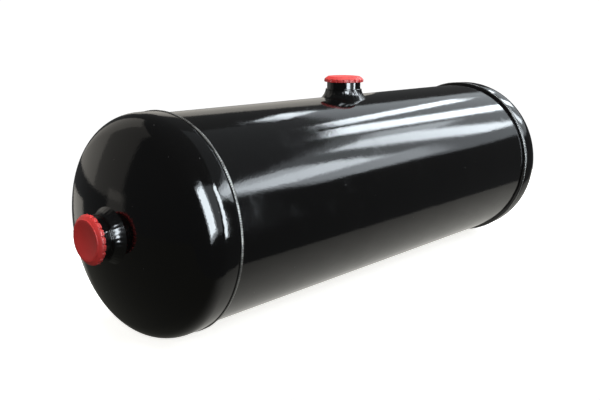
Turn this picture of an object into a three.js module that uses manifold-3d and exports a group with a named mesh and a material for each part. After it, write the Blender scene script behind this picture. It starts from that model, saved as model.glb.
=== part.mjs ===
// Hydraulic reservoir: a welded steel barrel with two dished heads, three threaded ports and
// their red plastic plugs. Millimetres, +Z up. X runs along the barrel, and the origin lies on
// the surface that the tank rests on, at mid-length.
import * as THREE from 'three';
import { mergeVertices } from 'three/addons/utils/BufferGeometryUtils.js';
import Module from 'manifold-3d';

const wasm = await Module();
wasm.setup();

// Driving dimensions: barrel and heads.
const BARREL_DIAMETER = 246;
const BARREL_WALL = 3;
const BARREL_LENGTH = 640;
const LAP_LENGTH = 12;
const HEAD_WALL = 3;
const SKIRT_LENGTH = 16;
const KNUCKLE_RADIUS = 36;
const CROWN_RADIUS = 246;
const RING_SIDES = 48;
const KNUCKLE_STEPS = 4;
const CROWN_STEPS = 3;

// Driving dimensions: welds of the barrel.
const GIRTH_WELD_WIDTH = 5.6;
const GIRTH_WELD_HEIGHT = 2.8;
const GIRTH_WELD_STEPS = 4;
const SEAM_FACET = 15;
const SEAM_WEB = 3;
const SEAM_CROWN_WIDTH = 8;
const SEAM_CROWN_HEIGHT = 1.1;
const SEAM_CROWN_STEPS = 6;
const SEAM_END_SETBACK = 10;

// Driving dimensions: ports.
const THREAD_DIAMETER = 33.25;
const NECK_DIAMETER = 46;
const SOCKET_HEIGHT = 20.5;
const SOCKET_DEPTH = 8;
const SHOULDER_STEP = 2;
const SHOULDER_HEIGHT = 10.5;
const SHOULDER_THICKNESS = 1.8;
const PORT_WELD_LEG = 6;
const PORT_WELD_ROOT = 2;
const RIM_CHAMFER = 0.8;
const SOCKET_SIDES = 32;
const TOP_PORT_X = 0;

// Driving dimensions: plugs and seals.
const SEAL_THICKNESS = 1.4;
const SEAL_SETBACK = 0.7;
const CAP_CLEARANCE = 1;
const CAP_SKIRT_WALL = 3;
const CAP_HEIGHT = 7.5;
const CAP_SIDE_HEIGHT = 2.6;
const CAP_BEVEL = 4;
const CAP_EDGE_CHAMFER = 0.5;
const CAP_SKIRT_OVERLAP = 0.5;
const CAP_FACE_THICKNESS = 3;
const SHANK_LENGTH = 15;
const SHANK_WALL = 3;
const SHANK_CHAMFER = 1;
const TOOTH_COUNT = 20;
const TOOTH_GAP = 1.9;
const TOOTH_DEPTH = 1.7;
const TOOTH_HEIGHT = 3.6;

// Driving dimensions: slosh baffles.
const BAFFLE_THICKNESS = 2.5;
const BAFFLE_SPACING = 214;
const BAFFLE_TOP_CUT = 25;
const BAFFLE_FOOT_CUT = 34;
const BAFFLE_SIDES = 60;
const TACK_LEG = 7;
const TACK_LENGTH = 16;
const TACK_ANGLES = [60, 120, 240, 300];

// Clearance between solids that touch on the real tank.
const FIT_GAP = 0.3;

// Corners closer than this are one corner.
const MERGE_DISTANCE = 1e-4;

// Worked-out sizes.
const barrelRadius = BARREL_DIAMETER / 2;
const barrelBore = barrelRadius - BARREL_WALL;
const skirtRadius = barrelRadius + FIT_GAP + HEAD_WALL;
const threadRadius = THREAD_DIAMETER / 2;
const neckRadius = NECK_DIAMETER / 2;
const shoulderRadius = neckRadius + SHOULDER_STEP;
const shoulderFoot = SHOULDER_HEIGHT - SHOULDER_THICKNESS;
const portHoleRadius = neckRadius + FIT_GAP;
const facetFactor = Math.cos(Math.PI / RING_SIDES);
const axisHeight = skirtRadius * facetFactor;
const crownCentre = SKIRT_LENGTH
  - Math.sqrt((CROWN_RADIUS - KNUCKLE_RADIUS) ** 2 - (skirtRadius - KNUCKLE_RADIUS) ** 2);
const headDepth = crownCentre + CROWN_RADIUS;
const shankRadius = threadRadius - FIT_GAP;
const seamAngle = 2 * Math.PI * SEAM_FACET / RING_SIDES;
const flangeSeat = SOCKET_HEIGHT + SEAL_THICKNESS + 2 * FIT_GAP;

// Finishes.
const blackPaint = { color: 0x0b0b0c, roughness: 0.16, metalness: 0 };
const bareSteel = { color: 0x6f6c68, roughness: 0.5, metalness: 0.9 };
const redPlastic = { color: 0xc41f22, roughness: 0.4, metalness: 0 };
const blackRubber = { color: 0x141414, roughness: 0.75, metalness: 0 };

const radians = THREE.MathUtils.degToRad;

function point(r, z) {
  return new THREE.Vector2(r, z);
}

// A solid of revolution about +Z. The profile runs counterclockwise in (radius, height).
function turned(profile, sides) {
  const half = Math.PI / sides;
  const geometry = new THREE.LatheGeometry(profile, sides, half, 2 * Math.PI);
  return geometry.rotateX(Math.PI / 2);
}

// A ring of revolution, whose profile is closed by its first point.
function turnedRing(profile, sides) {
  return turned([...profile, profile[0]], sides);
}

function arc(centreR, centreZ, radius, fromAngle, toAngle, steps) {
  const points = [];
  for (let i = 0; i <= steps; i += 1) {
    const angle = fromAngle + (toAngle - fromAngle) * i / steps;
    points.push(point(centreR + radius * Math.cos(angle), centreZ + radius * Math.sin(angle)));
  }
  return points;
}

function toSolid(geometry) {
  const bare = geometry.index ? geometry.toNonIndexed() : geometry.clone();
  bare.deleteAttribute('normal');
  bare.deleteAttribute('uv');
  const merged = mergeVertices(bare, MERGE_DISTANCE);
  const corners = merged.index.array;
  const kept = [];
  for (let i = 0; i < corners.length; i += 3) {
    const [a, b, c] = [corners[i], corners[i + 1], corners[i + 2]];
    if (a !== b && b !== c && c !== a) {
      kept.push(a, b, c);
    }
  }
  return new wasm.Manifold(new wasm.Mesh({
    numProp: 3,
    vertProperties: new Float32Array(merged.attributes.position.array),
    triVerts: new Uint32Array(kept),
  }));
}

function toGeometry(solid) {
  const mesh = solid.getMesh();
  const geometry = new THREE.BufferGeometry();
  const positions = new Float32Array(mesh.vertProperties);
  geometry.setAttribute('position', new THREE.BufferAttribute(positions, 3));
  geometry.setIndex(new THREE.BufferAttribute(new Uint32Array(mesh.triVerts), 1));
  return geometry;
}

function piece(name, geometry, finish) {
  const mesh = new THREE.Mesh(geometry, new THREE.MeshStandardMaterial(finish));
  mesh.name = name;
  return mesh;
}

// A section of revolution about X, from one radius to another over the barrel's length and laps.
function roundAlongX(innerRadius, outerRadius) {
  const half = BARREL_LENGTH / 2 + LAP_LENGTH;
  const profile = [
    point(innerRadius, -half),
    point(outerRadius, -half),
    point(outerRadius, half),
    point(innerRadius, half),
  ];
  const bar = innerRadius > 0 ? turnedRing(profile, RING_SIDES) : turned(profile, RING_SIDES);
  return bar.rotateY(Math.PI / 2);
}

// Barrel: a rolled tube along X, slit for its seam weld and bored for the top port.

function barrelGeometry() {
  const slitWidth = SEAM_WEB + 2 * FIT_GAP;
  const slitDepth = 2 * (BARREL_WALL + FIT_GAP) + barrelRadius * (1 - facetFactor);
  const slit = new THREE.BoxGeometry(2 * BARREL_LENGTH, slitWidth, 2 * slitDepth);
  slit.translate(0, 0, barrelRadius);
  slit.rotateX(-seamAngle);
  const hole = new THREE.CylinderGeometry(portHoleRadius, portHoleRadius, barrelRadius, SOCKET_SIDES);
  hole.rotateX(Math.PI / 2);
  hole.translate(TOP_PORT_X, 0, barrelRadius);
  const tube = toSolid(roundAlongX(barrelBore, barrelRadius));
  return toGeometry(tube.subtract(toSolid(slit)).subtract(toSolid(hole)));
}

// Seam weld: a web through the slit, crowned outside and inside between the head skirts.
function seamWeldGeometry() {
  const outerFace = barrelRadius * facetFactor;
  const innerFace = barrelBore * facetFactor;
  const fullLength = BARREL_LENGTH + 2 * LAP_LENGTH;
  const crownLength = BARREL_LENGTH - 2 * (GIRTH_WELD_WIDTH + SEAM_END_SETBACK);
  const web = new THREE.BoxGeometry(fullLength, SEAM_WEB, outerFace - innerFace);
  web.translate(0, 0, (outerFace + innerFace) / 2);
  const halfWeb = SEAM_WEB / 2;
  const halfCrown = SEAM_CROWN_WIDTH / 2;
  const outerEdge = outerFace + FIT_GAP;
  const innerEdge = innerFace - FIT_GAP;
  const crown = new THREE.Shape();
  crown.moveTo(-halfCrown, outerEdge);
  crown.lineTo(-halfWeb, outerEdge);
  crown.lineTo(-halfWeb, innerEdge);
  crown.lineTo(-halfCrown, innerEdge);
  crown.quadraticCurveTo(0, innerEdge - 2 * SEAM_CROWN_HEIGHT, halfCrown, innerEdge);
  crown.lineTo(halfWeb, innerEdge);
  crown.lineTo(halfWeb, outerEdge);
  crown.lineTo(halfCrown, outerEdge);
  crown.quadraticCurveTo(0, outerEdge + 2 * SEAM_CROWN_HEIGHT, -halfCrown, outerEdge);
  const bead = new THREE.ExtrudeGeometry(crown, {
    depth: crownLength,
    bevelEnabled: false,
    curveSegments: SEAM_CROWN_STEPS,
  });
  bead.translate(0, 0, -crownLength / 2);
  bead.rotateX(Math.PI / 2);
  bead.rotateZ(Math.PI / 2);
  return toGeometry(toSolid(web).add(toSolid(bead))).rotateX(-seamAngle);
}

// Head: straight skirt, knuckle and crown, bored at its centre. It opens towards -Z, with its
// edge at z = 0.
function headCurve(inset, innerRadius) {
  const knuckle = KNUCKLE_RADIUS - inset;
  const crown = CROWN_RADIUS - inset;
  const knuckleCentre = skirtRadius - KNUCKLE_RADIUS;
  const tangent = Math.acos(knuckleCentre / (CROWN_RADIUS - KNUCKLE_RADIUS));
  const crownEnd = Math.acos(innerRadius / crown);
  return [
    point(skirtRadius - inset, 0),
    ...arc(knuckleCentre, SKIRT_LENGTH, knuckle, 0, tangent, KNUCKLE_STEPS),
    ...arc(0, crownCentre, crown, tangent, crownEnd, CROWN_STEPS).slice(1),
  ];
}

function headGeometry() {
  const outside = headCurve(0, portHoleRadius);
  const inside = headCurve(HEAD_WALL, portHoleRadius).reverse();
  return turnedRing([...outside, ...inside], RING_SIDES);
}

// Girth weld: the fillet between the barrel and the edge of a skirt, at z = 0 and below.
function girthWeldGeometry() {
  const foot = barrelRadius + FIT_GAP;
  const edge = -FIT_GAP;
  const crown = new THREE.QuadraticBezierCurve(
    point(foot, edge - GIRTH_WELD_WIDTH),
    point(foot + GIRTH_WELD_HEIGHT, edge - GIRTH_WELD_WIDTH),
    point(foot + GIRTH_WELD_HEIGHT, edge),
  );
  return turnedRing([point(foot, edge), ...crown.getPoints(GIRTH_WELD_STEPS)], RING_SIDES);
}

// Port pieces, about +Z, with z = 0 where the port's axis leaves the tank.
function socketGeometry() {
  return turnedRing([
    point(threadRadius, -SOCKET_DEPTH),
    point(neckRadius, -SOCKET_DEPTH),
    point(neckRadius, shoulderFoot),
    point(shoulderRadius, shoulderFoot),
    point(shoulderRadius, SHOULDER_HEIGHT),
    point(neckRadius, SHOULDER_HEIGHT),
    point(neckRadius, SOCKET_HEIGHT - RIM_CHAMFER),
    point(neckRadius - RIM_CHAMFER, SOCKET_HEIGHT),
    point(threadRadius, SOCKET_HEIGHT),
  ], SOCKET_SIDES);
}

// The weld's root lies below the barrel's surface all round the toe.
function portWeldGeometry(tankBody) {
  const top = shoulderFoot - FIT_GAP;
  const toe = shoulderRadius + PORT_WELD_LEG;
  const root = barrelRadius - Math.sqrt(barrelRadius ** 2 - toe ** 2) + PORT_WELD_ROOT;
  const ring = turnedRing([
    point(portHoleRadius, -root),
    point(toe + PORT_WELD_ROOT, -root),
    point(toe, 0),
    point(shoulderRadius, top),
    point(portHoleRadius, top),
  ], SOCKET_SIDES);
  return toGeometry(toSolid(ring).subtract(toSolid(tankBody)));
}

function barrelBelowPort() {
  return roundAlongX(0, barrelRadius + FIT_GAP).translate(0, 0, -barrelRadius);
}

function headBelowPort() {
  const curve = headCurve(-FIT_GAP, portHoleRadius);
  const top = curve[curve.length - 1].y;
  const closed = [point(0, 0), ...curve, point(0, top)];
  return turned(closed, RING_SIDES).translate(0, 0, -headDepth);
}

function sealGeometry() {
  const foot = SOCKET_HEIGHT + FIT_GAP;
  const inner = threadRadius + FIT_GAP;
  const outer = neckRadius - SEAL_SETBACK;
  return turnedRing([
    point(inner, foot),
    point(outer, foot),
    point(outer, foot + SEAL_THICKNESS),
    point(inner, foot + SEAL_THICKNESS),
  ], SOCKET_SIDES);
}

// Plug: a toothed cap with a hollow threaded shank. The thread itself is left as a plain cylinder.
function plugGeometry() {
  const rim = neckRadius + CAP_CLEARANCE + CAP_SKIRT_WALL;
  const face = rim - CAP_BEVEL;
  const foot = SOCKET_HEIGHT - CAP_SKIRT_OVERLAP;
  const top = foot + CAP_HEIGHT;
  const shankEnd = flangeSeat - SHANK_LENGTH;
  const hollow = shankRadius - SHANK_WALL;
  const body = turned([
    point(0, top - CAP_FACE_THICKNESS),
    point(hollow, top - CAP_FACE_THICKNESS),
    point(hollow, shankEnd),
    point(shankRadius - SHANK_CHAMFER, shankEnd),
    point(shankRadius, shankEnd + SHANK_CHAMFER),
    point(shankRadius, flangeSeat),
    point(rim - CAP_SKIRT_WALL, flangeSeat),
    point(rim - CAP_SKIRT_WALL, foot),
    point(rim, foot),
    point(rim, foot + CAP_SIDE_HEIGHT),
    point(face, top - CAP_EDGE_CHAMFER),
    point(face - CAP_EDGE_CHAMFER, top),
    point(0, top),
  ], SOCKET_SIDES);
  let plug = toSolid(body);
  for (let i = 0; i < TOOTH_COUNT; i += 1) {
    const gap = new THREE.BoxGeometry(2 * TOOTH_DEPTH, TOOTH_GAP, 2 * TOOTH_HEIGHT);
    gap.translate(rim, 0, foot);
    gap.rotateZ(2 * Math.PI * i / TOOTH_COUNT);
    plug = plug.subtract(toSolid(gap));
  }
  return toGeometry(plug);
}

function port(name, tankBody) {
  const group = new THREE.Group();
  group.add(piece(`${name}_port_socket`, socketGeometry(), blackPaint));
  group.add(piece(`${name}_port_weld`, portWeldGeometry(tankBody), blackPaint));
  group.add(piece(`${name}_plug_seal`, sealGeometry(), blackRubber));
  group.add(piece(`${name}_plug`, plugGeometry(), redPlastic));
  return group;
}

// Baffle: a round plate across the barrel, open along its top for air and its foot for oil. Its
// edge clears the inside of the seam weld.
const baffleRadius = barrelBore * facetFactor - 2 * FIT_GAP - SEAM_CROWN_HEIGHT;

function baffleGeometry() {
  const topLine = baffleRadius - BAFFLE_TOP_CUT;
  const footLine = baffleRadius - BAFFLE_FOOT_CUT;
  const topAngle = Math.asin(topLine / baffleRadius);
  const footAngle = Math.asin(footLine / baffleRadius);
  const outline = new THREE.Shape();
  outline.absarc(0, 0, baffleRadius, -footAngle, topAngle, false);
  outline.absarc(0, 0, baffleRadius, Math.PI - topAngle, Math.PI + footAngle, false);
  outline.closePath();
  const plate = new THREE.ExtrudeGeometry(outline, {
    depth: BAFFLE_THICKNESS,
    bevelEnabled: false,
    curveSegments: BAFFLE_SIDES / 4,
  });
  plate.translate(0, 0, -BAFFLE_THICKNESS / 2);
  plate.rotateX(Math.PI / 2);
  return plate.rotateZ(Math.PI / 2);
}

// Tack weld: a short fillet in the corner between a baffle and the barrel.
function tackGeometry() {
  const top = barrelBore * facetFactor - FIT_GAP;
  const side = BAFFLE_THICKNESS / 2 + FIT_GAP;
  const section = new THREE.Shape();
  section.moveTo(side, top);
  section.lineTo(side, top - TACK_LEG);
  section.lineTo(side + TACK_LEG, top);
  section.closePath();
  const tack = new THREE.ExtrudeGeometry(section, { depth: TACK_LENGTH, bevelEnabled: false });
  tack.translate(0, 0, -TACK_LENGTH / 2);
  return tack.rotateX(Math.PI / 2);
}

function baffle(name, side) {
  const group = new THREE.Group();
  group.add(piece(`${name}_baffle`, baffleGeometry(), bareSteel));
  TACK_ANGLES.forEach((angle, i) => {
    const tack = piece(`${name}_baffle_tack_${i + 1}`, tackGeometry(), bareSteel);
    tack.rotation.x = radians(angle);
    if (side > 0) {
      tack.rotation.z = Math.PI;
    }
    group.add(tack);
  });
  group.position.x = side * BAFFLE_SPACING / 2;
  return group;
}

// Assembly.
const tank = new THREE.Group();
tank.position.z = axisHeight;
tank.add(piece('barrel', barrelGeometry(), blackPaint));
tank.add(piece('barrel_seam_weld', seamWeldGeometry(), blackPaint));

for (const [name, side] of [['left', -1], ['right', 1]]) {
  const end = new THREE.Group();
  end.position.x = side * BARREL_LENGTH / 2;
  end.rotation.y = side * Math.PI / 2;
  end.add(piece(`${name}_head`, headGeometry(), blackPaint));
  end.add(piece(`${name}_girth_weld`, girthWeldGeometry(), blackPaint));
  const endPort = port(name, headBelowPort());
  endPort.position.z = headDepth;
  end.add(endPort);
  tank.add(end);
  tank.add(baffle(name, side));
}

const topPort = port('top', barrelBelowPort());
topPort.position.set(TOP_PORT_X, 0, barrelRadius);
tank.add(topPort);

const reservoir = new THREE.Group();
reservoir.add(tank);

export default reservoir;
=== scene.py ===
import math

import bmesh
import bpy
import numpy as np
from mathutils import Matrix, Vector


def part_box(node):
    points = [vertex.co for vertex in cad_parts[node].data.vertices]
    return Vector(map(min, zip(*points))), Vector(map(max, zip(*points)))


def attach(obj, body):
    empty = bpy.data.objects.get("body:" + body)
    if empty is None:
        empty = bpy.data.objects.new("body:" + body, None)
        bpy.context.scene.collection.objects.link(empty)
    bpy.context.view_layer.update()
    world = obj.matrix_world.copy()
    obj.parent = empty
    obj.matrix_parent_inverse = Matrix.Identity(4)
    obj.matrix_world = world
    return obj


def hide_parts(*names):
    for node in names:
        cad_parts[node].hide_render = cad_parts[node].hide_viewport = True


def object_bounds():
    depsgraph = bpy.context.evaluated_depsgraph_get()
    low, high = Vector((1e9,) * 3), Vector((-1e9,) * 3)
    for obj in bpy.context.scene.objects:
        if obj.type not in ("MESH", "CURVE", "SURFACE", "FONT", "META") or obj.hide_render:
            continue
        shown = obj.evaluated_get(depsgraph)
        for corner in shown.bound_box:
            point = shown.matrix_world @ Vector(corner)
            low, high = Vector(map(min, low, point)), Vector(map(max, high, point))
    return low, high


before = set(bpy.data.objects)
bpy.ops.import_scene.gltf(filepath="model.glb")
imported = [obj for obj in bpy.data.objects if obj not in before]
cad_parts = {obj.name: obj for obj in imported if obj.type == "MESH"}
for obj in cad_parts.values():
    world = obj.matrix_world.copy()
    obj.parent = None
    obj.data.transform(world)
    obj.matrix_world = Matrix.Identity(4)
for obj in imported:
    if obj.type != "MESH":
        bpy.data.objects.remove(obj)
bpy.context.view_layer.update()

# ---- Barrel -------------------------------------------------------------------------------
# The barrel is 3 mm steel sheet, rolled round and closed by one lengthwise weld. It is bored
# for the top port, and the whole tank is dipped and stoved in gloss black enamel.
MM = 0.001
TURN = 2 * math.pi
FRAME_FLATS = 48          # the frame's rings have 48 flats, and only their corners are on the round
SHEET = 3 * MM
SLIT = 3.6 * MM
SEAM_TURN = 112.5 / 360 * TURN       # from the top, towards the back
BARREL_STEPS = 256
NECK_RADIUS = 23 * MM
PORT_HOLE = NECK_RADIUS + 0.3 * MM
PORT_REACH = 34 * MM                 # the sheet has extra rings this far round the port
PORT_RINGS = 18
DRILL_STEPS = 96
CREASE = math.radians(40)
SAME_POINT = 0.0001 * MM
CLOUD_SIZE = 90 * MM
HAZE_SIZE = 26 * MM
NIB_SPACING = 19 * MM
NIB_HEIGHT = 0.05 * MM
PEEL_SIZE = 2.2 * MM
SAG_SIZE = 34 * MM
DEEP_BLACK = (0.0018, 0.0018, 0.0020, 1)
SOFT_BLACK = (0.0034, 0.0033, 0.0031, 1)
DUST_GREY = (0.16, 0.155, 0.145, 1)

barrel_low, barrel_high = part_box("barrel")
BARREL_HALF = barrel_high.x
AXIS_HEIGHT = (barrel_low.z + barrel_high.z) / 2
BARREL_RADIUS = (barrel_high.z - barrel_low.z) / 2 / math.cos(math.pi / FRAME_FLATS)
BARREL_BORE = BARREL_RADIUS - SHEET
ALONG_BARREL = Matrix.Translation((0, 0, AXIS_HEIGHT)) @ Matrix.Rotation(math.pi / 2, 4, "Y")


class Signal:
    """The value at a shader socket. Arithmetic on it adds Math nodes."""

    def __init__(self, finish, socket):
        self.finish = finish
        self.socket = socket

    def calculate(self, operation, first, second):
        return self.finish.node("ShaderNodeMath", {"operation": operation}, {0: first, 1: second})

    def __add__(self, other):
        return self.calculate("ADD", self, other)

    def __radd__(self, other):
        return self.calculate("ADD", other, self)

    def __sub__(self, other):
        return self.calculate("SUBTRACT", self, other)

    def __rsub__(self, other):
        return self.calculate("SUBTRACT", other, self)

    def __mul__(self, other):
        return self.calculate("MULTIPLY", self, other)

    def __rmul__(self, other):
        return self.calculate("MULTIPLY", other, self)


class Finish:
    """A material under construction: its shader, and the nodes that feed it."""

    def __init__(self, name, **constants):
        self.material = bpy.data.materials.new(name)
        self.material.use_nodes = True
        self.tree = self.material.node_tree
        self.shader = self.tree.nodes["Principled BSDF"]
        for socket, value in constants.items():
            self.feed(socket.replace("_", " "), value)
        self.place = self.node("ShaderNodeTexCoord", out="Object")

    def feed(self, socket, value):
        self.join(self.shader.inputs[socket], value)

    def join(self, socket, value):
        if isinstance(value, Signal):
            self.tree.links.new(value.socket, socket)
        else:
            socket.default_value = value

    def node(self, kind, settings=None, sockets=None, out=0):
        made = self.tree.nodes.new(kind)
        for setting, value in (settings or {}).items():
            setattr(made, setting, value)
        for socket, value in (sockets or {}).items():
            self.join(made.inputs[socket], value)
        return Signal(self, made.outputs[out])

    def grain(self, size, detail=2.0, roughness=0.5):
        """Noise from 0 to 1 whose features are about this size."""
        noise = {"Vector": self.place, "Scale": 1 / size, "Detail": detail, "Roughness": roughness}
        return self.node("ShaderNodeTexNoise", {}, noise)

    def band(self, value, low, high):
        """A smooth step from 0 at low to 1 at high."""
        limits = {"Value": value, "From Min": low, "From Max": high}
        return self.node("ShaderNodeMapRange", {"interpolation_type": "SMOOTHSTEP"}, limits)

    def blend(self, share, first, second):
        """The first colour where share is 0 and the second where it is 1."""
        colours = {0: share, 6: first, 7: second}
        return self.node("ShaderNodeMix", {"data_type": "RGBA"}, colours, out=2)

    def relief(self, height):
        """Feeds a height in metres to the shader as bump."""
        bump = {"Strength": 1.0, "Distance": 1.0, "Height": height}
        self.feed("Normal", self.node("ShaderNodeBump", {}, bump))


def skin(name, points, place, closed=True):
    """A solid from rows of points, each row a closed section; the rows close on each other
    or end in flat caps. Corners sharper than the crease angle stay crisp."""
    rows, corners, _ = points.shape
    shell = bmesh.new()
    grid = [[shell.verts.new(point) for point in row] for row in points]
    for i in range(rows if closed else rows - 1):
        here, there = grid[i], grid[(i + 1) % rows]
        for j in range(corners):
            k = (j + 1) % corners
            face = [here[j], there[j], there[k], here[k]]
            if (face[0].co - face[1].co).length > 0 or (face[2].co - face[3].co).length > 0:
                shell.faces.new(face)
    if not closed:
        shell.faces.new(grid[0])
        shell.faces.new(grid[-1])
    bmesh.ops.remove_doubles(shell, verts=shell.verts, dist=SAME_POINT)
    bmesh.ops.recalc_face_normals(shell, faces=shell.faces)
    mesh = bpy.data.meshes.new(name)
    shell.to_mesh(mesh)
    shell.free()
    mesh.transform(place)
    mesh.shade_smooth()
    mesh.set_sharp_from_angle(angle=CREASE)
    piece = bpy.data.objects.new(name, mesh)
    bpy.context.scene.collection.objects.link(piece)
    return piece


def turned(name, outline, place, steps, start=0.0, sweep=TURN, shape=None):
    """A piece turned about its own Z from a closed outline of (radius, height) points.
    A shape function may move the points of each angle."""
    closed = sweep == TURN
    angles = start + np.linspace(0, sweep, steps + 1)[: steps if closed else steps + 1, None]
    radii, heights = np.array(outline).T[:, None, :] + 0 * angles
    if shape:
        radii, heights = shape(angles, radii, heights)
    points = np.stack([radii * np.cos(angles), radii * np.sin(angles), heights], axis=-1)
    return skin(name, points, place, closed)


def finish_piece(piece, material, body, slot, *nodes):
    """Paints a piece, rides it on its body and lets it stand for its nodes in the frame."""
    piece.data.materials.append(material)
    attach(piece, body)
    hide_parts(*nodes)


def cut(piece, tool):
    """Takes the tool's volume out of the piece and throws the tool away."""
    boolean = piece.modifiers.new("cut", "BOOLEAN")
    boolean.object = tool
    boolean.solver = "EXACT"
    graph = bpy.context.evaluated_depsgraph_get()
    whole = piece.data
    piece.data = bpy.data.meshes.new_from_object(piece.evaluated_get(graph))
    piece.data.name = piece.name
    piece.modifiers.clear()
    bpy.data.meshes.remove(whole)
    bpy.data.objects.remove(tool)


def enamel(name, peel, ripple, dullness=0.05):
    """Gloss black enamel: nearly black, wet-looking, with orange peel and a few dust nibs."""
    paint = Finish(name, IOR=1.5, Metallic=0.0)
    cloud = paint.grain(CLOUD_SIZE, 3.0)
    haze = paint.band(paint.grain(HAZE_SIZE, 4.0, 0.6), 0.52, 0.74)
    cells = {"Vector": paint.place, "Scale": 1 / NIB_SPACING, "Randomness": 1.0}
    nibs = paint.node("ShaderNodeTexVoronoi", {"feature": "F1"}, cells, out="Distance")
    dust = 1 - paint.band(nibs, 0.014, 0.028)
    black = paint.blend(cloud, DEEP_BLACK, SOFT_BLACK)
    paint.feed("Base Color", paint.blend(dust * 0.3, black, DUST_GREY))
    paint.feed("Roughness", dullness + 0.05 * cloud + 0.05 * haze + 0.4 * dust)
    orange_peel = paint.grain(PEEL_SIZE, 1.0) * peel
    sags = paint.grain(SAG_SIZE, 1.0) * ripple
    paint.relief(orange_peel + sags + dust * NIB_HEIGHT)
    return paint.material


sheet_enamel = enamel("sheet_enamel", 0.045 * MM, 0.12 * MM)

barrel_outline = [
    (BARREL_BORE, BARREL_HALF),
    (BARREL_BORE, -BARREL_HALF),
    (BARREL_RADIUS, -BARREL_HALF),
    *((BARREL_RADIUS, ring) for ring in np.linspace(-PORT_REACH, PORT_REACH, PORT_RINGS)),
    (BARREL_RADIUS, BARREL_HALF),
]
seam_angle = math.pi - SEAM_TURN
slit_half = math.asin(SLIT / 2 / BARREL_RADIUS)
barrel = turned(
    "barrel_sheet",
    barrel_outline,
    ALONG_BARREL,
    BARREL_STEPS,
    seam_angle + slit_half,
    TURN - 2 * slit_half,
)
drill_outline = [(0, 0), (PORT_HOLE, 0), (PORT_HOLE, BARREL_RADIUS), (0, BARREL_RADIUS)]
drill_place = Matrix.Translation((0, 0, AXIS_HEIGHT + BARREL_RADIUS / 2))
drill = turned("port_drill", drill_outline, drill_place, DRILL_STEPS)
cut(barrel, drill)
finish_piece(barrel, sheet_enamel, "tank", "black_paint", "barrel")

# ---- Seam weld ----------------------------------------------------------------------------
# One machine-laid bead closes the rolled sheet, low on the back. It fills the slit and stands
# a little over a millimetre proud, with the fine chevron ripples of a wire-fed torch.
SEAM_WIDTH = 8 * MM
SEAM_PROUD = 1.1 * MM
SEAM_SINK = 0.25 * MM
SEAM_RIPPLE = 0.12 * MM
SEAM_RIPPLE_STEP = 2.2 * MM
SEAM_BOW = 0.35                      # how far a ripple's middle lags its edges, in ripples
SEAM_FADE = 12 * MM
SEAM_END = 18 * MM
SEAM_DRIFT = 0.35 * MM
SEAM_DRIFTS = 40
SEAM_SEED = 5
SEAM_POINTS = 9
RIPPLE_STATIONS = 8


def wander(count, knots, amount, seed):
    """A smooth closed run of random offsets, for the small unevenness of handwork."""
    offsets = np.random.default_rng(seed).uniform(-amount, amount, knots)
    places = np.arange(count) * knots / count
    base = places.astype(int)
    share = places - base
    share = share * share * (3 - 2 * share)
    return offsets[base % knots] * (1 - share) + offsets[(base + 1) % knots] * share


def step(low, high, value):
    """A smooth step from 0 at low to 1 at high."""
    share = np.clip((value - low) / (high - low), 0, 1)
    return share * share * (3 - 2 * share)


def lengthwise(name, section, lengths, place):
    """A bar along X whose section may change; section gives (across, out) for each length."""
    across, out = section(lengths[:, None])
    points = np.stack([lengths[:, None] + 0 * across, across, out], axis=-1)
    return skin(name, points, place, closed=False)


def seam_section(lengths):
    """The bead proud of the sheet outside, the web through the slit, and the bead inside."""
    share = np.linspace(-1, 1, SEAM_POINTS)[None, :]
    inner_share = share[:, ::-1]
    visible = BARREL_HALF - SEAM_END
    fade = 1 - step(visible - SEAM_FADE, visible, abs(lengths))
    phase = TURN * (lengths / SEAM_RIPPLE_STEP + SEAM_BOW * share**2)
    crown = SEAM_PROUD * (1 - share**2) * fade
    crown = crown + SEAM_RIPPLE * np.sin(phase) * (1 - share**2) * fade
    drift = wander(lengths.size, SEAM_DRIFTS, SEAM_DRIFT, SEAM_SEED)[:, None]
    outer_across = share * SEAM_WIDTH / 2 + drift * fade
    outer_out = np.sqrt(BARREL_RADIUS**2 - outer_across**2) + crown - SEAM_SINK * abs(share)
    web = SLIT / 2 + 0 * lengths
    inner_out = BARREL_BORE - SEAM_PROUD * (1 - inner_share**2) * fade + SEAM_SINK * inner_share**2
    inner_across = inner_share * SEAM_WIDTH / 2 + 0 * lengths
    middle = (BARREL_RADIUS + BARREL_BORE) / 2 + 0 * lengths
    across = np.hstack([outer_across, web, inner_across, -web])
    out = np.hstack([outer_out, middle, inner_out, middle])
    return across, out


weld_enamel = enamel("weld_enamel", 0.05 * MM, 0.2 * MM, 0.16)
seam_low, seam_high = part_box("barrel_seam_weld")
seam_count = int((seam_high.x - seam_low.x) / SEAM_RIPPLE_STEP * RIPPLE_STATIONS)
at_seam = Matrix.Translation((0, 0, AXIS_HEIGHT)) @ Matrix.Rotation(-SEAM_TURN, 4, "X")
seam_lengths = np.linspace(seam_low.x, seam_high.x, seam_count)
seam = lengthwise("seam_bead", seam_section, seam_lengths, at_seam)
finish_piece(seam, weld_enamel, "tank", "black_paint", "barrel_seam_weld")

# ---- Heads --------------------------------------------------------------------------------
# Each head is pressed from the same sheet: a straight skirt that slips over the barrel, a
# tight knuckle and a shallow crown, bored at its centre for a port.
SKIRT = 16 * MM
KNUCKLE = 36 * MM
CROWN = 246 * MM
SKIRT_LIP = 0.9 * MM
LIP_STEPS = 6
HEAD_STEPS = 256
KNUCKLE_STEPS = 28
CROWN_STEPS = 36

head_low, head_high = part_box("left_head")
SKIRT_RADIUS = (head_high.z - head_low.z) / 2 / math.cos(math.pi / FRAME_FLATS)
crown_centre = SKIRT - math.sqrt((CROWN - KNUCKLE) ** 2 - (SKIRT_RADIUS - KNUCKLE) ** 2)


def arc(radius, height, size, start, end, steps):
    """Points on an arc of this size about (radius, height)."""
    angles = np.linspace(start, end, steps)
    return [(radius + size * math.cos(a), height + size * math.sin(a)) for a in angles]


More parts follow.
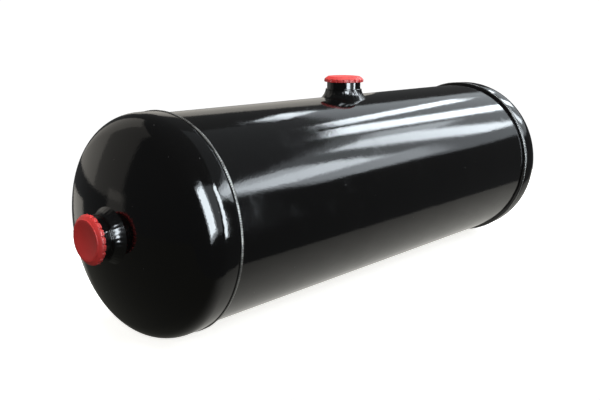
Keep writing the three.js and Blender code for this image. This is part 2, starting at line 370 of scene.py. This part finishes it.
def head_curve(inset):
    """From the end of the straight skirt to the edge of the port hole."""
    tangent = math.acos((SKIRT_RADIUS - KNUCKLE) / (CROWN - KNUCKLE))
    hole = math.acos(PORT_HOLE / (CROWN - inset))
    knuckle = arc(SKIRT_RADIUS - KNUCKLE, SKIRT, KNUCKLE - inset, 0, tangent, KNUCKLE_STEPS)
    crown = arc(0, crown_centre, CROWN - inset, tangent, hole, CROWN_STEPS)
    return knuckle + crown[1:]


lip = arc(SKIRT_RADIUS - SKIRT_LIP, SKIRT_LIP, SKIRT_LIP, -TURN / 4, 0, LIP_STEPS)
head_outline = [(SKIRT_RADIUS - SHEET, 0)] + lip + head_curve(0) + head_curve(SHEET)[::-1]
left_end = Matrix.Translation((head_high.x, 0, AXIS_HEIGHT)) @ Matrix.Rotation(-TURN / 4, 4, "Y")
right_end = Matrix.Translation((-head_high.x, 0, AXIS_HEIGHT)) @ Matrix.Rotation(TURN / 4, 4, "Y")
for side, end in (("left", left_end), ("right", right_end)):
    head = turned(f"{side}_pressed_head", head_outline, end, HEAD_STEPS)
    finish_piece(head, sheet_enamel, "tank", "black_paint", f"{side}_head")

# ---- Girth welds --------------------------------------------------------------------------
# A single bead runs round each skirt edge and joins it to the barrel, laid while the tank
# turned on rollers. Its crown has a painted highlight: patches of grey, mostly metallic finish
# that stand in for the glint of light along the bead.
BEAD_WIDTH = 5.6 * MM
BEAD_PROUD = 4.0 * MM
BEAD_GAP = 0.3 * MM
BEAD_RIPPLE = 0.16 * MM
BEAD_RIPPLES = 300
BEAD_BOW = 9.0                       # how far the ripples curve across the bead, in radians
BEAD_STEPS = BEAD_RIPPLES * 6
BEAD_SWELL = 0.22 * MM
BEAD_SWELLS = 60
SWELL_SEED = 11
BEAD_DRIFT = 0.28 * MM
BEAD_DRIFTS = 44
DRIFT_SEED = 12
BEAD_START = 0.16 * math.pi          # the bead's arc begins part of the way up the skirt's edge
BEAD_FULLNESS = 0.8
BEAD_POINTS = 15
GLINT_FROM = 0.78                      # the share of the bead's height above which the painted highlight lies
BEAD_BLACK = (0.005, 0.005, 0.005, 1)
GLINT_GREY = (0.22, 0.22, 0.21, 1)


def girth_shape(angles, radii, heights):
    """Ripples and swells on the bead, and a toe that wanders along the barrel."""
    crown = (radii - BARREL_RADIUS) / BEAD_PROUD
    chevron = ((heights + BEAD_GAP) / BEAD_WIDTH + 0.5) ** 2
    ripple = BEAD_RIPPLE * np.sin(BEAD_RIPPLES * angles + BEAD_BOW * chevron)
    swell = wander(angles.size, BEAD_SWELLS, BEAD_SWELL, SWELL_SEED)[:, None]
    drift = wander(angles.size, BEAD_DRIFTS, BEAD_DRIFT, DRIFT_SEED)[:, None]
    return radii + (ripple + swell) * crown, heights + drift * (1 - crown)


bead_arc = [
    (
        BARREL_RADIUS + BEAD_PROUD * math.sin(a) ** BEAD_FULLNESS,
        -BEAD_GAP - BEAD_WIDTH * (1 - math.cos(a)) / 2,
    )
    for a in np.linspace(BEAD_START, math.pi, BEAD_POINTS)
]
girth_outline = [(BARREL_RADIUS, -BEAD_GAP)] + bead_arc

glint_enamel = Finish("girth_enamel", IOR=1.5)
off_axis = glint_enamel.node(
    "ShaderNodeVectorMath",
    {"operation": "MULTIPLY_ADD"},
    {0: glint_enamel.place, 1: (0, 1, 1), 2: (0, 0, -AXIS_HEIGHT)},
)
from_axis = glint_enamel.node("ShaderNodeVectorMath", {"operation": "LENGTH"}, {0: off_axis}, out="Value")
# Painted highlight: near the top of the bead, patches turn grey and mostly metallic, in place of
# the glint of light along its crown.
bead_top = glint_enamel.band(from_axis, BARREL_RADIUS + GLINT_FROM * BEAD_PROUD, BARREL_RADIUS + BEAD_PROUD)
painted_glint = bead_top * glint_enamel.band(glint_enamel.grain(HAZE_SIZE, 4.0), 0.3, 0.5)
glint_enamel.feed("Base Color", glint_enamel.blend(painted_glint, BEAD_BLACK, GLINT_GREY))
glint_enamel.feed("Metallic", 0.75 * painted_glint)
glint_enamel.feed("Roughness", 0.18 + 0.14 * painted_glint)
glint_enamel.relief(glint_enamel.grain(1.4 * MM, 2.0) * (0.05 * MM) + glint_enamel.grain(9 * MM) * (0.2 * MM))

for side, end in (("left", left_end), ("right", right_end)):
    girth = turned(f"{side}_girth_bead", girth_outline, end, BEAD_STEPS, shape=girth_shape)
    finish_piece(girth, glint_enamel.material, "tank", "black_paint", f"{side}_girth_weld")

# ---- Port sockets -------------------------------------------------------------------------
# The three sockets are turned from bar: a round neck with a shoulder ring for the weld, and a
# right-hand pipe thread in the bore. They are set into the holes and welded from outside.
SHOULDER_RADIUS = 25 * MM
SHOULDER_TOP = -10 * MM              # heights are measured from the neck's rim
SHOULDER_FOOT = -11.8 * MM
SOCKET_FOOT = -28.5 * MM
TANK_FACE = -20.5 * MM
THREAD_PITCH = 2.309 * MM
THREAD_ROOT = 17.6 * MM
THREAD_CREST = 16.5 * MM
THREAD_MOUTH = -1.5 * MM
THREAD_TAPER = 2.6                   # the slope of a flank
THREAD_FLAT = 0.8                    # a higher value widens the flat at the root
THREAD_POINTS = 96
ON_WALL = 0.01 * MM
BORE_CHAMFER = 0.6 * MM
SOCKET_STEPS = 128
ROUNDING_STEPS = 6


def rounded(corners, steps=ROUNDING_STEPS):
    """An outline from corners (radius, height, fillet), each rounded by its fillet."""
    outline = []
    for i, (radius, height, fillet) in enumerate(corners):
        corner = Vector((radius, height))
        if not fillet:
            outline.append((radius, height))
            continue
        back = (Vector(corners[i - 1][:2]) - corner).normalized()
        ahead = (Vector(corners[(i + 1) % len(corners)][:2]) - corner).normalized()
        half = back.angle(ahead) / 2
        centre = corner + (back + ahead).normalized() * fillet / math.sin(half)
        first = corner + back * fillet / math.tan(half) - centre
        last = corner + ahead * fillet / math.tan(half) - centre
        start = math.atan2(first.y, first.x)
        bend = (math.atan2(last.y, last.x) - start + math.pi) % TURN - math.pi
        outline += arc(centre.x, centre.y, fillet, start, start + bend, steps)
    return outline


def threaded(radius, foot, top, count):
    """A plain wall of this radius with enough points to carry a thread."""
    return [(radius, height) for height in np.linspace(foot, top, count)]


def thread_form(angles, heights, foot, top):
    """From 0 at the root of a right-hand thread to 1 at its crest; it runs out at both ends."""
    along = (heights / THREAD_PITCH - angles / TURN) % 1
    flank = np.clip(THREAD_TAPER * abs(2 * along - 1) - THREAD_FLAT, 0, 1)
    run_in = step(foot, foot + THREAD_PITCH, heights)
    run_out = 1 - step(top - THREAD_PITCH, top, heights)
    return flank * (run_in * run_out)


def socket_thread(angles, radii, heights):
    """Raises the thread on the socket's bore and leaves the rest of it as it is."""
    on_wall = radii < THREAD_ROOT + ON_WALL
    form = thread_form(angles, heights, SOCKET_FOOT, THREAD_MOUTH)
    return np.where(on_wall, THREAD_ROOT - (THREAD_ROOT - THREAD_CREST) * form, radii), heights


rim_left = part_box("left_port_socket")[0].x
rim_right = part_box("right_port_socket")[1].x
top_low, top_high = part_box("top_port_socket")
PORTS = {
    "left": Matrix.Translation((rim_left, 0, AXIS_HEIGHT)) @ Matrix.Rotation(-TURN / 4, 4, "Y"),
    "right": Matrix.Translation((rim_right, 0, AXIS_HEIGHT)) @ Matrix.Rotation(TURN / 4, 4, "Y"),
    "top": Matrix.Translation(((top_low.x + top_high.x) / 2, 0, top_high.z)),
}
socket_corners = [
    (NECK_RADIUS, SOCKET_FOOT, 0.6 * MM),
    (NECK_RADIUS, SHOULDER_FOOT, 0.3 * MM),
    (SHOULDER_RADIUS, SHOULDER_FOOT, 0.3 * MM),
    (SHOULDER_RADIUS, SHOULDER_TOP, 0.5 * MM),
    (NECK_RADIUS, SHOULDER_TOP, 0.5 * MM),
    (NECK_RADIUS, 0, 0.9 * MM),
    (THREAD_ROOT + 0.4 * MM, 0, 0.3 * MM),
]
socket_wall = threaded(THREAD_ROOT, -BORE_CHAMFER, SOCKET_FOOT, THREAD_POINTS)
socket_outline = rounded(socket_corners) + socket_wall
for name, place in PORTS.items():
    socket = turned(f"{name}_socket_body", socket_outline, place, SOCKET_STEPS, shape=socket_thread)
    finish_piece(socket, sheet_enamel, "tank", "black_paint", f"{name}_port_socket")

# ---- Port welds ---------------------------------------------------------------------------
# A hand-laid fillet runs from under each shoulder down to the sheet. Its toe follows the
# surface that it lies on: the round of the barrel, or the crown of a head.
FILLET_TOE = 31 * MM
FILLET_ROOT = 2 * MM
FILLET_BULGE = -1.1 * MM             # negative, because the fillet is hollow
FILLET_RIPPLE = 0.12 * MM
FILLET_RIPPLES = 34
FILLET_BOW = 5.0                     # how far the ripples curve up the fillet, in radians
FILLET_SWELL = 0.3 * MM
FILLET_SWELLS = 17
FILLET_STEPS = FILLET_RIPPLES * 12
FILLET_POINTS = 14
FILLET_SEED = 21                     # each port's weld has the next seed


def barrel_drop(angles, radii):
    """How far the barrel falls away below its top line."""
    return BARREL_RADIUS - np.sqrt(BARREL_RADIUS**2 - (radii * np.sin(angles)) ** 2)


def crown_drop(angles, radii):
    """How far a head's crown falls away from its apex."""
    return CROWN - np.sqrt(CROWN**2 - radii**2)


def fillet_shape(drop, seed):
    """The hollow, rippled face of one weld, whose toe drops with the surface under it."""

    def shape(angles, radii, heights):
        climb = np.clip((heights - TANK_FACE) / (SHOULDER_FOOT - TANK_FACE), 0, 1)
        belly = np.sin(math.pi * climb) * (radii > NECK_RADIUS + MM)
        ripple = FILLET_RIPPLE * np.sin(FILLET_RIPPLES * angles + FILLET_BOW * (climb - 0.5) ** 2)
        swell = wander(angles.size, FILLET_SWELLS, FILLET_SWELL, seed)[:, None]
        outward = radii + (FILLET_BULGE + ripple + swell) * belly
        return outward, heights - drop(angles, outward) * (1 - climb)

    return shape


fillet_line = [
    (FILLET_TOE + (SHOULDER_RADIUS - FILLET_TOE) * s, TANK_FACE + (SHOULDER_FOOT - TANK_FACE) * s)
    for s in np.linspace(0, 1, FILLET_POINTS)
]
fillet_outline = [
    (NECK_RADIUS, SHOULDER_FOOT),
    (NECK_RADIUS, TANK_FACE - FILLET_ROOT),
    (FILLET_TOE - FILLET_ROOT, TANK_FACE - FILLET_ROOT),
] + fillet_line
for seed, (name, place) in enumerate(PORTS.items(), FILLET_SEED):
    face = fillet_shape(barrel_drop if name == "top" else crown_drop, seed)
    fillet = turned(f"{name}_port_fillet", fillet_outline, place, FILLET_STEPS, shape=face)
    finish_piece(fillet, weld_enamel, "tank", "black_paint", f"{name}_port_weld")

# ---- Plug seals ---------------------------------------------------------------------------
# A flat nitrile washer, stamped from sheet, sits on each neck under the plug's flange. Nothing
# fixes it but the plug, and it travels with the plug when that is screwed out.
SEAL_FOOT = 0.3 * MM
SEAL_TOP = 1.7 * MM
SEAL_BORE = 16.9 * MM
SEAL_RADIUS = 22.3 * MM
SEAL_STEPS = 96
RUBBER_BLACK = (0.012, 0.012, 0.012, 1)
BLOOM_GREY = (0.03, 0.03, 0.029, 1)

rubber = Finish("seal_rubber", IOR=1.52, Metallic=0.0)
bloom = rubber.grain(5 * MM, 4.0, 0.6)
rubber.feed("Base Color", rubber.blend(bloom, RUBBER_BLACK, BLOOM_GREY))
rubber.feed("Roughness", 0.55 + 0.25 * bloom)
rubber.relief(rubber.grain(0.5 * MM, 3.0) * (0.02 * MM))
seal_corners = [
    (SEAL_BORE, SEAL_FOOT, 0.3 * MM),
    (SEAL_RADIUS, SEAL_FOOT, 0.5 * MM),
    (SEAL_RADIUS, SEAL_TOP, 0.5 * MM),
    (SEAL_BORE, SEAL_TOP, 0.3 * MM),
]
for name, place in PORTS.items():
    seal = turned(f"{name}_seal_washer", rounded(seal_corners), place, SEAL_STEPS)
    finish_piece(seal, rubber.material, f"{name}_seal", "black_rubber", f"{name}_plug_seal")

# ---- Plugs --------------------------------------------------------------------------------
# The transport plugs are moulded in red plastic: a toothed cap to grip, a face with a shallow
# dish, and a hollow threaded shank. They screw out along the travel that the frame gives them.
CAP_RADIUS = 27 * MM
CAP_FACE = 22.6 * MM
CAP_FOOT = -0.5 * MM
CAP_SIDE = 2.6 * MM
CAP_TOP = 7 * MM
CAP_WALL = 3 * MM
CAP_EDGE = 0.6 * MM
EDGE_POINTS = 5
BEVEL_DROP = 0.5 * MM
BEVEL_BOW = 1.5
BEVEL_POINTS = 12
SIDE_POINTS = 8
FOOT_CHAMFER = 0.4 * MM
FLANGE = 2 * MM
DISH_RADIUS = 18.5 * MM
DISH_EDGE = 0.6 * MM
DISH_DEPTH = 0.35 * MM
SHANK_CREST = 16.3 * MM
SHANK_ROOT = 15.1 * MM
SHANK_END = -13 * MM
SHANK_BORE = 13.3 * MM
SHANK_POINTS = 84
TEETH = 20
TOOTH_GAP = 1.9 * MM
TOOTH_DEPTH = 1.7 * MM
TOOTH_TOP = 3.4 * MM
TOOTH_EDGE = 0.35 * MM
CAP_STEPS = TEETH * 24
DEEP_RED = (0.58, 0.028, 0.026, 1)
BRIGHT_RED = (0.68, 0.042, 0.038, 1)
SCUFFED_RED = (0.66, 0.10, 0.09, 1)


def plug_shape(angles, radii, heights):
    """Cuts the gaps between the cap's teeth and the thread on the shank."""
    spacing = TURN / TEETH
    across = abs((angles / spacing + 0.5) % 1 - 0.5) * spacing * CAP_RADIUS
    inside = 1 - step(TOOTH_GAP / 2 - TOOTH_EDGE, TOOTH_GAP / 2 + TOOTH_EDGE, across)
    low = 1 - step(TOOTH_TOP - TOOTH_EDGE, TOOTH_TOP + TOOTH_EDGE, heights)
    rim = step(CAP_RADIUS - CAP_WALL, CAP_RADIUS - 0.4 * CAP_WALL, radii)
    radii = radii - TOOTH_DEPTH * inside * low * rim
    form = thread_form(angles, heights, SHANK_END, FLANGE)
    shank = abs(radii - SHANK_ROOT) < ON_WALL
    return np.where(shank, SHANK_ROOT + (SHANK_CREST - SHANK_ROOT) * form, radii), heights


cap_side = [
    (CAP_RADIUS, height) for height in np.linspace(CAP_FOOT + FOOT_CHAMFER, CAP_SIDE, SIDE_POINTS)
]
cap_bevel = [
    (
        CAP_RADIUS + (CAP_FACE - CAP_RADIUS) * s**BEVEL_BOW,
        CAP_SIDE + (CAP_TOP - BEVEL_DROP - CAP_SIDE) * s,
    )
    for s in np.linspace(0, 1, BEVEL_POINTS)[1:]
]
plug_outline = (
    [(0, CAP_TOP - CAP_WALL), (SHANK_BORE, CAP_TOP - CAP_WALL), (SHANK_BORE, SHANK_END)]
    + threaded(SHANK_ROOT, SHANK_END, FLANGE, SHANK_POINTS)
    + [(CAP_RADIUS - CAP_WALL, FLANGE), (CAP_RADIUS - CAP_WALL, CAP_FOOT)]
    + [(CAP_RADIUS - FOOT_CHAMFER, CAP_FOOT)]
    + cap_side
    + cap_bevel
    + arc(CAP_FACE - CAP_EDGE, CAP_TOP - CAP_EDGE, CAP_EDGE, TURN / 12, TURN / 4, EDGE_POINTS)
    + [(DISH_RADIUS + DISH_EDGE, CAP_TOP), (DISH_RADIUS, CAP_TOP - DISH_DEPTH)]
    + [(0, CAP_TOP - DISH_DEPTH)]
)

plastic = Finish("plug_plastic", IOR=1.49, Metallic=0.0)
flow = plastic.grain(14 * MM, 3.0)
scuff = plastic.band(plastic.grain(3 * MM, 5.0, 0.7), 0.58, 0.75)
red = plastic.blend(flow, DEEP_RED, BRIGHT_RED)
plastic.feed("Base Color", plastic.blend(scuff * 0.25, red, SCUFFED_RED))
plastic.feed("Roughness", 0.36 + 0.16 * flow + 0.12 * scuff)
plastic.relief(plastic.grain(0.55 * MM, 2.0) * (0.016 * MM) + flow * (0.08 * MM))
for name, place in PORTS.items():
    plug = turned(f"{name}_screw_plug", plug_outline, place, CAP_STEPS, shape=plug_shape)
    finish_piece(plug, plastic.material, f"{name}_plug", "red_plastic", f"{name}_plug")

# ---- Baffles ------------------------------------------------------------------------------
# Two plates stand across the barrel and slow the oil's surge. They are cut from bare sheet
# and held by four short tack welds each, so they keep their mill scale under a film of oil.
SCALE_GREY = (0.15, 0.15, 0.16, 1)
BARE_GREY = (0.36, 0.35, 0.34, 1)

steel = Finish("bare_steel", IOR=2.5)
scale = steel.grain(22 * MM, 5.0, 0.6)
streak = steel.band(steel.grain(3 * MM, 4.0), 0.45, 0.7)
steel.feed("Base Color", steel.blend(scale, SCALE_GREY, BARE_GREY))
steel.feed("Metallic", 0.75 + 0.2 * streak)
steel.feed("Roughness", 0.34 + 0.2 * scale + 0.1 * streak)
steel.relief(steel.grain(1.2 * MM, 3.0) * (0.02 * MM))
for node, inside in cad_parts.items():
    if "baffle" in node:
        inside.data.materials.clear()
        inside.data.materials.append(steel.material)

# ---- Floor --------------------------------------------------------------------------------
# The tank lies on a plain pale light table of opal sheet. Directly seen it is almost white; in
# the gloss it is dimmer, with painted shade that falls off towards the front and past the left
# head, in place of shadow on the table.
TABLE_FRONT = -0.22
TABLE_BACK = 0.45
TABLE_SIDE = 0.95
TABLE_GLOW = 0.8
PALE = (0.84, 0.84, 0.83, 1)
PALER = (0.88, 0.88, 0.87, 1)
DIM_END = (0.08, 0.08, 0.07, 1)
BRIGHT_END = (1.0, 0.99, 0.93, 1)
LEFT_FALL_OFF = (-0.36, -0.28)       # X, from dark to full
FRONT_FALL_OFF = (-0.36, 0.05)       # Y, from dim to full
FRONT_GLOW = 0.12
BACK_GLOW = 0.6
SHADE_MOTTLE_SIZE = 0.06
MOTTLE_SIZE = 0.2

tank_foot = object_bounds()[0].z
table_corners = [
    (-TABLE_SIDE, TABLE_FRONT, tank_foot),
    (TABLE_SIDE, TABLE_FRONT, tank_foot),
    (TABLE_SIDE, TABLE_BACK, tank_foot),
    (-TABLE_SIDE, TABLE_BACK, tank_foot),
]
table_mesh = bpy.data.meshes.new("light_table")
table_mesh.from_pydata(table_corners, [], [(0, 1, 2, 3)])
light_table = bpy.data.objects.new("light_table", table_mesh)
bpy.context.scene.collection.objects.link(light_table)
opal = Finish(
    "opal_sheet",
    Specular_IOR_Level=0.0,
    Roughness=0.8,
    Emission_Color=(1.0, 0.99, 0.96, 1),
    Emission_Strength=TABLE_GLOW,
)
opal.feed("Base Color", opal.blend(opal.grain(MOTTLE_SIZE), PALE, PALER))
from_left = opal.node("ShaderNodeSeparateXYZ", {}, {"Vector": opal.place}, out="X")
from_front = opal.node("ShaderNodeSeparateXYZ", {}, {"Vector": opal.place}, out="Y")
# Painted shade: what the gloss sees of the table is blended from bright to dim emission, dimmer
# towards the front and past the left head and with a mottle, in place of shadow on it.
depth = opal.band(from_front, *FRONT_FALL_OFF)
unevenness = 0.85 + 0.3 * opal.grain(SHADE_MOTTLE_SIZE, 4.0, 0.6)
painted_table_light = opal.band(from_left, *LEFT_FALL_OFF) * (FRONT_GLOW + BACK_GLOW * depth) * unevenness
dim_light = opal.node("ShaderNodeEmission", {}, {"Color": DIM_END, "Strength": 1.0})
bright_light = opal.node("ShaderNodeEmission", {}, {"Color": BRIGHT_END, "Strength": 1.0})
mirrored = opal.node("ShaderNodeMixShader", {}, {0: painted_table_light, 1: dim_light, 2: bright_light})
seen = opal.node("ShaderNodeLightPath", out="Is Camera Ray")
sheet_itself = Signal(opal, opal.shader.outputs[0])
both = opal.node("ShaderNodeMixShader", {}, {0: seen, 1: mirrored, 2: sheet_itself})
opal.join(opal.tree.nodes["Material Output"].inputs["Surface"], both)
light_table.data.materials.append(opal.material)

# ---- Light --------------------------------------------------------------------------------
# Soft studio light: strips of skylight in the ceiling to the right, two tall windows in front,
# dim pale walls behind, and two softboxes, above and to the left, that the gloss doesn't mirror.
DAYLIGHT = (0.86, 0.94, 1.0)
NEUTRAL = (1.0, 1.0, 1.0)
WARM = (1.0, 0.95, 0.86)
CEILING = 1.8
WINDOW_LEAN = (-0.42, 0, 1)
DIM_ROOM = 0.075
WHITE_ROOM = 1.05


def softbox(name, centre, size, radiance, colour, aim=(0, 0, AXIS_HEIGHT), along=(0, 0, 1)):
    """A rectangular light of this radiance. It faces its aim, and its length runs along."""
    light = bpy.data.lights.new(name, "AREA")
    light.shape = "RECTANGLE"
    light.size, light.size_y = size
    light.energy = radiance * math.pi * size[0] * size[1]
    light.color = colour
    lamp = bpy.data.objects.new(name, light)
    bpy.context.scene.collection.objects.link(lamp)
    facing = (Vector(centre) - Vector(aim)).normalized()
    side = Vector(along).cross(facing).normalized()
    turn = Matrix((side, facing.cross(side), facing)).transposed()
    lamp.matrix_world = Matrix.Translation(centre) @ turn.to_4x4()
    lamp.visible_camera = False
    return lamp


def skylight(name, first, last, width, radiance, height=CEILING):
    """A strip in the ceiling from one point to another, facing down."""
    start, end = Vector((*first, height)), Vector((*last, height))
    middle = (start + end) / 2
    below = middle - Vector((0, 0, height))
    softbox(name, middle, (width, (end - start).length), radiance, DAYLIGHT, below, end - start)


softbox("overhead_fill", (0.3, -0.2, 2.2), (2.4, 2.4), 5.0, NEUTRAL).visible_glossy = False
skylight("strip_far", (1.6, 0.8), (2.05, 1.2), 0.2, 5.5)
skylight("strip_back", (1.75, 0.12), (3.1, 0.62), 0.22, 8.5)
skylight("strip_middle", (1.75, -0.24), (3.7, -0.2), 0.32, 11.0)
skylight("strip_between", (2.1, -0.64), (2.9, -0.66), 0.26, 3.0)
skylight("strip_front", (2.1, -0.85), (4.4, -1.5), 0.44, 8.5)
skylight("strip_low_near", (1.9, -1.9), (2.25, -2.05), 0.8, 5.5)
skylight("strip_low", (2.25, -2.05), (3.2, -2.5), 0.95, 9.0)
skylight("strip_low_end", (3.2, -2.35), (4.8, -3.4), 1.3, 2.6)
skylight("strip_low_edge", (1.9, -2.7), (2.8, -3.1), 0.7, 3.0)
skylight("ceiling_glow", (2.2, -1.3), (7.5, -1.3), 5.4, 1.1, CEILING + 0.3)
skylight("ceiling_glow_near", (1.1, -0.7), (2.2, -0.7), 3.0, 0.12, CEILING + 0.3)
for window in (
    softbox("window", (-1.3, -2.95, 1.2), (1.2, 2.6), 18.0, DAYLIGHT, along=WINDOW_LEAN),
    softbox("window_haze", (-1.28, -3.05, 1.2), (1.75, 3.2), 5.0, DAYLIGHT, along=WINDOW_LEAN),
    softbox("window_glow", (0.0, -3.2, 1.3), (2.0, 2.7), 1.1, DAYLIGHT),
    softbox("window_right", (1.3, -2.49, 0.9), (0.6, 2.4), 21.0, DAYLIGHT),
):
    window.visible_diffuse = False
softbox("fill_left", (-1.9, -1.6, 1.0), (1.2, 1.2), 5.0, NEUTRAL).visible_glossy = False
softbox("wall_back", (-1.05, 2.5, 1.85), (3.0, 3.5), 0.22, WARM, aim=(0, 0, 1.85))
softbox("wall_far_back", (-0.5, 2.9, 1.85), (1.8, 3.5), 0.3, WARM, aim=(0, 0, 1.85))
softbox("wall_back_low", (-0.25, 2.95, -0.6), (1.0, 0.7), 0.6, WARM)
softbox("wall_back_left", (-2.39, 2.23, 0.0), (0.75, 0.58), 0.25, WARM)
softbox("wall_back_right", (1.8, 2.2, 0.9), (1.6, 1.2), 0.6, WARM)

room = bpy.data.worlds.new("studio")
room.use_nodes = True
room_nodes, room_links = room.node_tree.nodes, room.node_tree.links
dim = room_nodes["Background"]
dim.inputs["Color"].default_value = (0.95, 0.98, 1.0, 1)
dim.inputs["Strength"].default_value = DIM_ROOM
white = room_nodes.new("ShaderNodeBackground")
white.inputs["Color"].default_value = (1, 1, 1, 1)
white.inputs["Strength"].default_value = WHITE_ROOM
ray = room_nodes.new("ShaderNodeLightPath")
either = room_nodes.new("ShaderNodeMixShader")
room_links.new(ray.outputs["Is Camera Ray"], either.inputs[0])
room_links.new(dim.outputs[0], either.inputs[1])
room_links.new(white.outputs[0], either.inputs[2])
room_links.new(either.outputs[0], room_nodes["World Output"].inputs["Surface"])
bpy.context.scene.world = room
bpy.context.scene.view_settings.view_transform = "Standard"

# ---- Camera -------------------------------------------------------------------------------
# From the front left, a little above the tank's top and close enough for strong perspective,
# with a slight roll.
CAMERA_PLACE = (-0.8438, -0.6747, 0.3464)
CAMERA_AZIMUTH = math.radians(-48.23)
CAMERA_ELEVATION = math.radians(12.85)
CAMERA_ROLL = math.radians(0.6)
CAMERA_LENS = 46.36
SENSOR_WIDTH = 36

lens = bpy.data.cameras.new("camera")
lens.sensor_width = SENSOR_WIDTH
lens.lens = CAMERA_LENS
lens.clip_start = 0.01
camera = bpy.data.objects.new("camera", lens)
bpy.context.scene.collection.objects.link(camera)
backward = Vector((
    math.sin(CAMERA_AZIMUTH) * math.cos(CAMERA_ELEVATION),
    -math.cos(CAMERA_AZIMUTH) * math.cos(CAMERA_ELEVATION),
    math.sin(CAMERA_ELEVATION),
))
facing = (-backward).to_track_quat("-Z", "Y").to_matrix() @ Matrix.Rotation(CAMERA_ROLL, 3, "Z")
camera.matrix_world = Matrix.Translation(CAMERA_PLACE) @ facing.to_4x4()
bpy.context.scene.camera = camera
